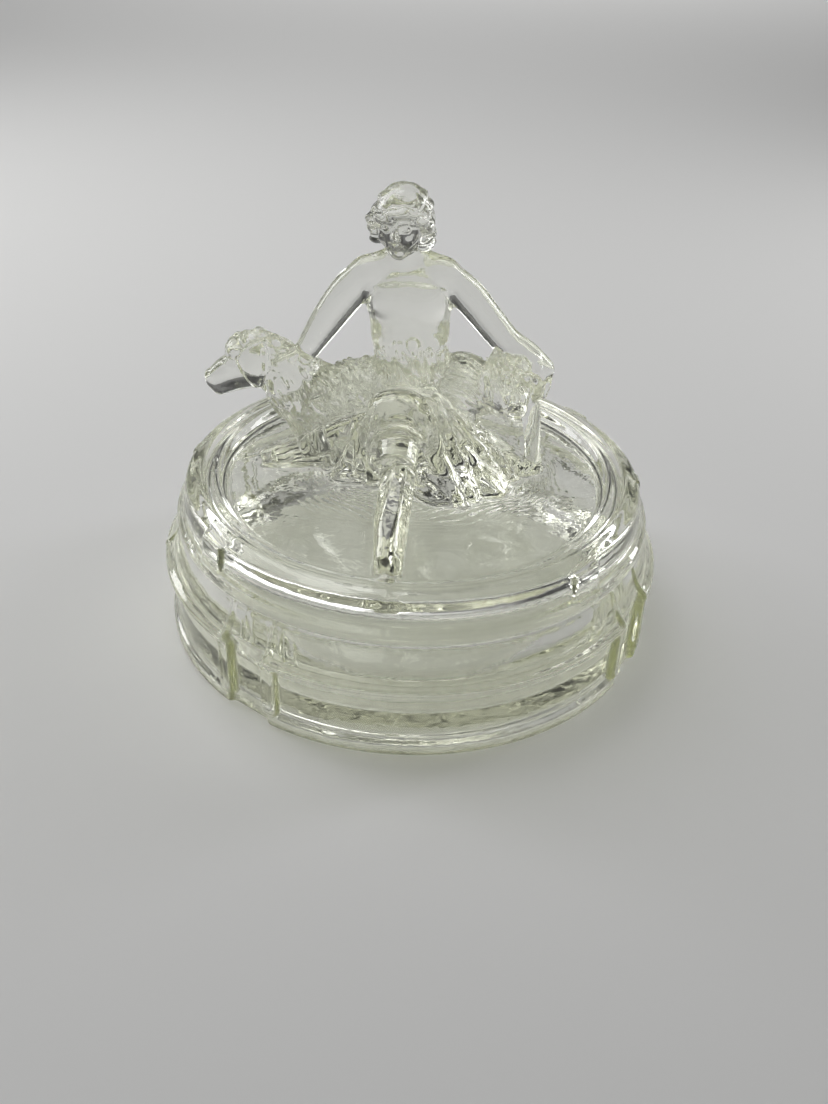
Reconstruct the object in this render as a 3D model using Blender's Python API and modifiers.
"""Depression glass candy dish: a round pressed-glass base dish and its lid, whose top carries a seated lady
between two dogs, pressed in one piece with it.

Blender 4.5.  Metres, +Z up, front = -Y.  The origin is the centre of the dish's underside.
"""
import math

import bmesh
import bpy
from mathutils import Matrix, Vector

MM = 0.001
NAME = "depression_glass_candy_dish"

# ------------------------------------------------------------------ driving dimensions (millimetres)
LEDGE_R = 74.0          # widest ring, the bead round the middle of the dish
FOOT_R = 73.4           # foot rim
WALL_R = 71.8           # lower wall between foot rim and bead
RIM_R = 68.4            # mouth rim, outside
MOUTH_R = 65.9          # mouth rim, inside
RIM_Z = 33.4            # height of the mouth rim
FLOOR_Z = 6.0           # inside floor
LEDGE_Z = 22.5          # height of the bead

LID_LIP_R = 69.6        # rounded lip round the bottom of the lid
LID_TOP_R = 66.5        # outer edge of the lid's raised rim
PLATE_R = 55.3          # edge of the sunk plate
PLATE_Z = 44.2          # top of the sunk plate
PLATE_T = 4.2           # plate thickness
SEAT_GAP = 0.3          # lid to dish, along the axis
FLANGE_R = 65.2         # locating flange under the lid, 0.7 inside the mouth
FLANGE_DROP = 3.0       # how far the flange reaches down into the mouth

DISH_FRONT = 12.3       # degrees: which way the dish's own pattern faces, from -Y toward +X
LID_FRONT = -4.0        # the same for the lid; the lid has been turned a little on the dish
GROUP_HALF = 48.3       # each pair of ribs is this far round from the front (and from the back)
RIB_HALF = 6.2          # each rib is this far from the middle of its pair
SEAMS = (-83.0, 97.0)   # where the halves of the dish's mould met
LUG_HALF = 47.5         # raised lugs on the lid wall, from the lid's front (and back)
SIDE_LUG = 93.7         # the two narrow lugs at the sides

FACET = (14.0, 8.0, 27.0)       # flat cut between two ribs: width, depth of the cutting bar, height
FACET_R = 71.4                  # its face, from the axis
RIB = (5.0, 5.0, 18.6)          # a rib below the bead
RIB_PROUD = 74.2                # its outer face, from the axis
STRIP = (2.4, 3.4, 10.4)        # the same rib's thin strip on the sloping shoulder
SHOULDER_R = 70.6               # middle of the shoulder, from the axis
SHOULDER_LEAN = -22.0           # degrees the shoulder leans in
SEAM = (1.6, 2.6, 9.6)          # ridge of the mould seam on the shoulder
NUB = (2.4, 3.0, 2.2)           # nub of the seam on the bead
LUG = (10.0, 6.0, 9.6)          # lug on the lid wall
LUG_PROUD = 68.5
NARROW_LUG = (5.4, 6.0, 9.6)
NARROW_LUG_PROUD = 67.5
LUG_LEAN = -4.0

STRAW = (0.93, 0.94, 0.86)      # faint straw tint of the glass

STEPS = 72              # sides of a turned form
WELD = 1e-5             # metres within which the ends of a turned form meet on the axis
SKIN = 1.15             # grid on which the limbs of the figures grow together
KEEP = 0.095            # share of that skin's faces kept
SOFTEN = (0.5, 3)       # strength and passes of smoothing


# ------------------------------------------------------------------ scene, collections, materials
for ob in list(bpy.data.objects):
    bpy.data.objects.remove(ob, do_unlink=True)
for mesh in list(bpy.data.meshes):
    if mesh.users == 0:
        bpy.data.meshes.remove(mesh)

parts = bpy.data.collections.new(NAME)
tools = bpy.data.collections.new(NAME + "_forms")
bpy.context.scene.collection.children.link(parts)
bpy.context.scene.collection.children.link(tools)


def glass(name, color):
    m = bpy.data.materials.new(name)
    m.use_nodes = True
    b = m.node_tree.nodes["Principled BSDF"]
    b.inputs["Base Color"].default_value = (*color, 1.0)
    b.inputs["Roughness"].default_value = 0.05
    b.inputs["IOR"].default_value = 1.5
    b.inputs["Transmission Weight"].default_value = 0.9
    return m


def add(name, mesh, collection=tools):
    ob = bpy.data.objects.new(name, mesh)
    collection.objects.link(ob)
    if collection is tools:
        ob.hide_render = True
        ob.display_type = "WIRE"
    return ob


def settle(ob):
    """Replace an object by the plain mesh its modifiers or curve settings give."""
    dg = bpy.context.evaluated_depsgraph_get()
    me = bpy.data.meshes.new_from_object(ob.evaluated_get(dg), depsgraph=dg)
    name, users = ob.name, list(ob.users_collection)
    world = ob.matrix_world.copy()
    mats = [s.material for s in ob.material_slots]
    bpy.data.objects.remove(ob, do_unlink=True)
    new = bpy.data.objects.new(name, me)
    for c in users:
        c.objects.link(new)
    if users and users[0] is tools:
        new.hide_render = True
        new.display_type = "WIRE"
    me.transform(world)
    for m in mats:
        if m and m.name not in me.materials:
            me.materials.append(m)
    return new


def turned(name, profile, collection=tools, steps=STEPS):
    """A solid turned round Z from an open profile whose two ends lie on the axis."""
    me = bpy.data.meshes.new(name)
    pts = [(r * MM, 0.0, z * MM) for r, z in profile]
    me.from_pydata(pts, [(i, i + 1) for i in range(len(pts) - 1)], [])
    ob = add(name, me, collection)
    s = ob.modifiers.new("turn", "SCREW")
    s.axis = "Z"
    s.angle = 2 * math.pi
    s.steps = s.render_steps = steps
    s.screw_offset = 0.0
    s.use_merge_vertices = True
    s.merge_threshold = WELD
    s.use_smooth_shade = True
    bpy.context.view_layer.update()
    return settle(ob)


def boolean(ob, other, operation):
    m = ob.modifiers.new(operation.lower(), "BOOLEAN")
    m.operation = operation
    m.solver = "EXACT"
    m.object = other
    bpy.context.view_layer.update()
    return settle(ob)


def join(name, obs, collection=tools):
    """One object holding the shells of several."""
    bm = bmesh.new()
    for o in obs:
        bm.from_mesh(o.data)
    me = bpy.data.meshes.new(name)
    bm.to_mesh(me)
    bm.free()
    for o in obs:
        bpy.data.objects.remove(o, do_unlink=True)
    return add(name, me, collection)


def block(name, size, at, bevel=0.0, segments=2, tilt=0.0):
    """A bevelled bar, sized and placed in millimetres before it is swung round; tilt leans its top in."""
    bpy.ops.mesh.primitive_cube_add(size=1.0)
    ob = bpy.context.object
    ob.name = name
    for c in list(ob.users_collection):
        c.objects.unlink(ob)
    tools.objects.link(ob)
    ob.hide_render = True
    ob.display_type = "WIRE"
    ob.data.transform(Matrix.Diagonal((size[0] * MM, size[1] * MM, size[2] * MM, 1.0)))
    if bevel:
        b = ob.modifiers.new("edges", "BEVEL")
        b.width = bevel * MM
        b.segments = segments
        b.limit_method = "ANGLE"
    bpy.context.view_layer.update()
    ob = settle(ob)
    ob.data.transform(Matrix.Translation(Vector(at) * MM) @ Matrix.Rotation(math.radians(tilt), 4, "X"))
    return ob


def swing(ob, degrees):
    """Turn a form made at the front (-Y) round the axis, toward +X."""
    ob.data.transform(Matrix.Rotation(math.radians(degrees), 4, "Z"))
    return ob


# ------------------------------------------------------------------ the dish
dish = turned("base_dish", [
    (0, FLOOR_Z - 1.0), (30, FLOOR_Z - 0.7), (50, FLOOR_Z), (57.5, FLOOR_Z + 1.3), (62.6, FLOOR_Z + 5.0),
    (65.0, FLOOR_Z + 10.0),
    (65.7, 24), (MOUTH_R, RIM_Z - 0.5), (MOUTH_R + 0.5, RIM_Z), (RIM_R - 0.6, RIM_Z), (RIM_R, RIM_Z - 0.6),
    (RIM_R + 0.5, 31.0), (RIM_R + 1.7, 28.0), (RIM_R + 3.4, 25.2), (LEDGE_R - 0.5, 23.6),
    (LEDGE_R, LEDGE_Z + 0.3), (LEDGE_R, LEDGE_Z - 0.5), (LEDGE_R - 0.7, LEDGE_Z - 1.2),
    (WALL_R + 0.6, LEDGE_Z - 1.6), (WALL_R + 0.3, 19.0), (WALL_R, 12.0), (WALL_R + 0.1, 5.6),
    (WALL_R + 0.6, 4.9), (FOOT_R - 0.3, 4.6),
    (FOOT_R, 4.0), (FOOT_R, 1.2), (FOOT_R - 1.2, 0.0), (61.0, 0.0), (59.5, 1.0), (40, 1.3), (0, 1.7)])

group_at = [DISH_FRONT - GROUP_HALF, DISH_FRONT + GROUP_HALF,
            DISH_FRONT + 180 - GROUP_HALF, DISH_FRONT + 180 + GROUP_HALF]
# the narrow flat facet between the two ribs of a pair, through bead, wall and foot rim
facets = [swing(block("facet", FACET, (0, -(FACET_R + FACET[1] / 2), 11.0)), a) for a in group_at]
dish = boolean(dish, join("dish_facets", facets), "DIFFERENCE")
# the ribs: broad and round-footed below the bead, narrow strips on the sloping shoulder above it
rib_at = [a + side for a in group_at for side in (-RIB_HALF, RIB_HALF)]
ribs = [swing(block("rib", RIB, (0, -(RIB_PROUD - RIB[1] / 2), 14.2), 1.3), a) for a in rib_at]
dish = boolean(dish, join("dish_ribs", ribs), "UNION")
strips = [swing(block("strip", STRIP, (0, -(SHOULDER_R - 0.7), 27.6), 0.5, 1, SHOULDER_LEAN), a)
          for a in rib_at]
dish = boolean(dish, join("dish_strips", strips), "UNION")
# where the halves of the mould met: a fine ridge up the shoulder with a nub on the bead
seams = [swing(block("seam", SEAM, (0, -(SHOULDER_R - 0.35), 27.4), 0.4, 1, SHOULDER_LEAN), a)
         for a in SEAMS]
dish = boolean(dish, join("dish_seams", seams), "UNION")
nubs = [swing(block("nub", NUB, (0, -(LEDGE_R + 0.6 - NUB[1] / 2), LEDGE_Z), 0.5, 1), a) for a in SEAMS]
dish = boolean(dish, join("dish_nubs", nubs), "UNION")

# ------------------------------------------------------------------ the lid
seat = RIM_Z + SEAT_GAP
under = PLATE_Z - PLATE_T
lid = turned("lid", [
    (0, PLATE_Z), (PLATE_R - 2.0, PLATE_Z), (PLATE_R, PLATE_Z + 0.4), (56.6, 46.0), (58.4, 47.0),
    (61.5, 47.4), (64.6, 47.0), (LID_TOP_R - 0.4, 46.0), (LID_TOP_R + 0.3, 44.6), (LID_TOP_R + 0.7, 41.0),
    (LID_TOP_R + 1.3, 38.6),
    (LID_LIP_R - 0.7, 37.2), (LID_LIP_R, 36.0), (LID_LIP_R, 34.8), (LID_LIP_R - 0.9, seat),
    (FLANGE_R + 0.1, seat),
    (FLANGE_R, seat - FLANGE_DROP + 0.5), (FLANGE_R - 0.5, seat - FLANGE_DROP), (63.6, seat - FLANGE_DROP),
    (63.0, seat - FLANGE_DROP + 0.5), (62.4, 36.0), (60.4, 39.0), (57.4, under), (0, under)])
lugs = []
for around in (-LUG_HALF, LUG_HALF, 180 - LUG_HALF, 180 + LUG_HALF):
    bar = block("lug", LUG, (0, -(LUG_PROUD - LUG[1] / 2), 41.3), 0.7, 2, LUG_LEAN)
    lugs.append(swing(bar, LID_FRONT + around))
for around in (-SIDE_LUG, SIDE_LUG):
    place = (0, -(NARROW_LUG_PROUD - NARROW_LUG[1] / 2), 41.3)
    bar = block("narrow_lug", NARROW_LUG, place, 0.7, 2, LUG_LEAN)
    lugs.append(swing(bar, LID_FRONT + around))
lid = boolean(lid, join("lid_lugs", lugs), "UNION")


# ------------------------------------------------------------------ the lady and the dogs
def limb(points, name="limb"):
    """A tapered round limb through points (x, y, z, radius) in millimetres, with rounded ends."""
    cu = bpy.data.curves.new(name, "CURVE")
    cu.dimensions = "3D"
    cu.bevel_depth = MM
    cu.bevel_resolution = 3
    cu.resolution_u = 6
    cu.use_fill_caps = True
    sp = cu.splines.new("NURBS" if len(points) > 2 else "POLY")
    sp.points.add(len(points) - 1)
    for p, (x, y, z, r) in zip(sp.points, points):
        p.co = (x * MM, y * MM, z * MM, 1.0)
        p.radius = r
    if len(points) > 2:
        sp.order_u = 3
        sp.use_endpoint_u = True
    ob = add(name, cu)
    bpy.context.view_layer.update()
    ob = settle(ob)
    ends = [blob(points[0][:3], (points[0][3],) * 3), blob(points[-1][:3], (points[-1][3],) * 3)]
    return [ob] + [e for pair in ends for e in pair]


def blob(at, radii, turn=(0, 0, 0), name="blob"):
    """An ellipsoid: centre and half-sizes in millimetres, turned by degrees about X, Y, Z."""
    bpy.ops.mesh.primitive_uv_sphere_add(segments=20, ring_count=12, radius=1.0)
    ob = bpy.context.object
    ob.name = name
    for c in list(ob.users_collection):
        c.objects.unlink(ob)
    tools.objects.link(ob)
    m = Matrix.Translation(Vector(at) * MM)
    for k, axis in ((2, "Z"), (1, "Y"), (0, "X")):
        m = m @ Matrix.Rotation(math.radians(turn[k]), 4, axis)
    ob.data.transform(m @ Matrix.Diagonal((radii[0] * MM, radii[1] * MM, radii[2] * MM, 1.0)))
    return [ob]


forms = []
# lady: seat, hips, a straight trunk, chest, shoulders and neck
forms += blob((-2, 15, 52), (14.4, 12, 11))
forms += blob((-2, 14, 64), (12.4, 10, 12))
forms += blob((-1.9, 13, 76), (11.2, 8.4, 15))
forms += blob((-2.3, 12.3, 87), (11.3, 7.7, 14))
forms += blob((-2.8, 12, 95), (12.5, 7.5, 9.0))
forms += limb([(-14.8, 12, 100.8, 4.9), (-4.2, 12.8, 106.4, 4.7), (6.4, 12, 101.2, 4.9)])
forms += limb([(-4.2, 12.8, 103, 4.4), (-5, 11.4, 112, 4.0)])
# the bowed head, turned a little to her right, with hair rolled over the ears and at the nape
forms += blob((-5.4, 11.8, 118.0), (8.3, 8.6, 8.6))
forms += blob((-6.0, 7.4, 113.2), (5.1, 5.0, 6.0))
forms += blob((-7.2, 2.6, 114.8), (1.2, 1.6, 2.0), (-20, 0, 0))
forms += blob((-12.1, 11.8, 116.6), (3.0, 3.4, 3.6))
forms += blob((-11.8, 11.6, 112.8), (2.8, 3.4, 3.2))
forms += blob((1.6, 8.8, 115.6), (2.1, 3.4, 3.4))
forms += blob((1.0, 8.8, 112.2), (2.6, 3.4, 3.2))
forms += blob((-3.9, 16.2, 112.4), (6.4, 4.2, 4.4))
# her arms reach out and down to a dog on each side
forms += limb([(-14.5, 12, 100.8, 5.1), (-21.4, 12.3, 95.6, 5.1), (-27.0, 13.2, 85.4, 4.6),
               (-32.4, 14, 76.8, 3.6)])
forms += blob((-36.6, 11.8, 74.6), (5.0, 3.4, 3.4), (0, 24, 0))
forms += limb([(6.2, 12, 101.2, 5.0), (14.4, 12, 96.4, 4.9), (20.6, 12, 87.6, 4.5), (27.0, 11.4, 81.4, 4.2),
               (36.2, 9, 75.8, 3.4)])
forms += limb([(36.4, 8.4, 76.0, 3.2), (37.8, 5.6, 73.6, 2.6), (36.2, 3.8, 70.2, 2.3)])
# her left leg: thigh and raised knee under the skirt, bare shin down to the toe at the front of the plate
forms += limb([(-1, 10, 57, 10.5), (-4.4, -6.5, 66.4, 9.0)])
forms += limb([(-4.3, -9, 64, 6.6), (-4.5, -17, 60.0, 5.8), (-5.1, -38, 51.4, 4.7),
               (-5.4, -52.0, 47.2, 3.7)])
forms += limb([(-4.5, -13, 52, 5.2), (-5.2, -34, 46.2, 4.6), (-5.4, -50, 44.6, 3.2)])
# her right leg, folded to the left along the plate, and its foot
forms += limb([(-9, 1, 60, 6.2), (-19, 4.5, 55.6, 5.0), (-27, 6, 51.6, 4.2), (-35, 5.4, 49.2, 3.4),
               (-41, 4.2, 47.8, 3.0)])
forms += blob((-41.6, 4.0, 47.0), (4.4, 2.9, 2.7))
# the skirt: a mound from the lap to the plate, folds fanning to the right and a few to the left
forms += blob((3, 5, 50), (19, 11, 11))
forms += blob((13, -1.5, 46), (17, 8.5, 9.0), (0, 16, -28))
forms += blob((8, -8, 46), (9, 8, 8.6), (0, 10, -50))
forms += blob((-13, 0, 47), (10, 5.5, 8), (0, -14, 8))
for fold in (
        [(1, -9, 67, 5.0), (5.4, -8.4, 58, 4.0), (10.6, -12, 49, 3.0), (14.2, -16.4, 44.8, 2.2)],
        [(2, -4, 68, 5.4), (9.2, -4.4, 57.5, 4.6), (15, -8, 49, 3.4), (18.6, -12, 44.8, 2.2)],
        [(3.4, 1.6, 66, 5.6), (12.4, 2.4, 57, 4.8), (20, -2, 49.3, 3.6), (24.0, -5.4, 44.8, 2.2)],
        [(4.6, 8, 61, 6.0), (15.6, 10, 53.6, 5.0), (24.2, 6, 48.3, 3.6), (30.6, 2.6, 44.8, 2.2)],
        [(-9.4, -9, 65, 4.6), (-11.4, -8.6, 55, 3.8), (-12.6, -7.2, 45.2, 3.0)],
        [(-11.4, -3, 61.6, 5.0), (-16.4, -3.2, 52.6, 4.0), (-19.6, -2.4, 45, 2.8)]):
    forms += limb(fold)
# the left dog lies behind her right arm, neck up, head in profile over the rim
forms += limb([(-8, 20, 60.2, 12.2), (-18, 19.8, 60.2, 11.8), (-29, 18.6, 58.2, 9.4)])
forms += blob((-20, 20, 51), (17, 9.5, 9.5))
forms += limb([(-38.6, 16, 66.8, 8.2), (-33.4, 16.8, 57.0, 7.6), (-31, 17, 44.6, 6.2)])
forms += limb([(-30.5, 17, 62.6, 8.6), (-41.5, 16, 71.4, 7.6)])
forms += blob((-46.2, 15, 74.4), (8.6, 6.6, 7.8), (0, 14, 0))
forms += limb([(-50, 15, 70.2, 5.5), (-59.2, 14.6, 66.2, 3.9)])
forms += limb([(-48, 15, 67.4, 3.5), (-58.4, 14.6, 63.8, 2.7)])
forms += blob((-47.6, 8.8, 74.0), (4.3, 2.3, 6.8), (0, 4, 0))
forms += limb([(-32, 15, 48.5, 3.5), (-36.4, 12.0, 46.8, 3.0), (-40.4, 9.8, 46.0, 2.5)])
# the right dog crouches beside her, head hanging toward the front, one fore leg straight down
forms += blob((13.2, 15, 65.8), (10.2, 9.2, 11.2))
forms += limb([(11, 16, 60, 8.4), (11, 16.5, 45, 7.4)])
forms += limb([(13, 14, 67, 9.2), (20.6, 11, 68.6, 7.6), (27, 8.4, 66.8, 6.4)])
forms += blob((27.0, 6.6, 74.4), (7.6, 6.4, 6.9))
forms += limb([(27.8, 3, 73.0, 5.0), (28.2, -3.6, 69.0, 4.0)])
forms += blob((20.6, 5.6, 73.8), (2.4, 3.4, 6.2), (0, 8, 0))
forms += blob((34.4, 5.4, 73.8), (2.4, 3.4, 6.2), (0, -8, 0))
forms += limb([(32.0, 7.6, 69, 4.0), (34.2, 6.2, 60, 3.1), (35.9, 6, 46.4, 2.9)])
forms += limb([(35.6, 5.6, 46.2, 2.8), (32.8, 3.4, 45.8, 2.4)])
forms += limb([(16, 14, 50, 4.6), (23, 12, 48.8, 3.7), (30.6, 6.0, 46.2, 2.7)])

figure = join("figure_form", forms)
# the limbs grow together into one skin, are smoothed and thinned out
rm = figure.modifiers.new("skin", "REMESH")
rm.mode = "VOXEL"
rm.voxel_size = SKIN * MM
rm.use_smooth_shade = True
sm = figure.modifiers.new("soften", "SMOOTH")
sm.factor, sm.iterations = SOFTEN
dc = figure.modifiers.new("thin", "DECIMATE")
dc.ratio = KEEP
bpy.context.view_layer.update()
figure = settle(figure)
# its lower side is cut level inside the plate's thickness, so nothing shows under the lid
below = block("below_plate", (160, 160, 20), (0, 0, PLATE_Z - 0.5 * PLATE_T - 10))
figure = boolean(figure, below, "DIFFERENCE")
lid = boolean(lid, figure, "UNION")

# ------------------------------------------------------------------ hand over
for ob, look in ((dish, "dish_glass"), (lid, "lid_glass")):
    ob.data.materials.clear()
    ob.data.materials.append(glass(look, STRAW))
    for c in list(ob.users_collection):
        c.objects.unlink(ob)
    parts.objects.link(ob)
    ob.hide_render = False
    ob.display_type = "TEXTURED"
    for p in ob.data.polygons:
        p.material_index = 0
        p.use_smooth = True
dish.name = dish.data.name = "base_dish"
lid.name = lid.data.name = "lid"
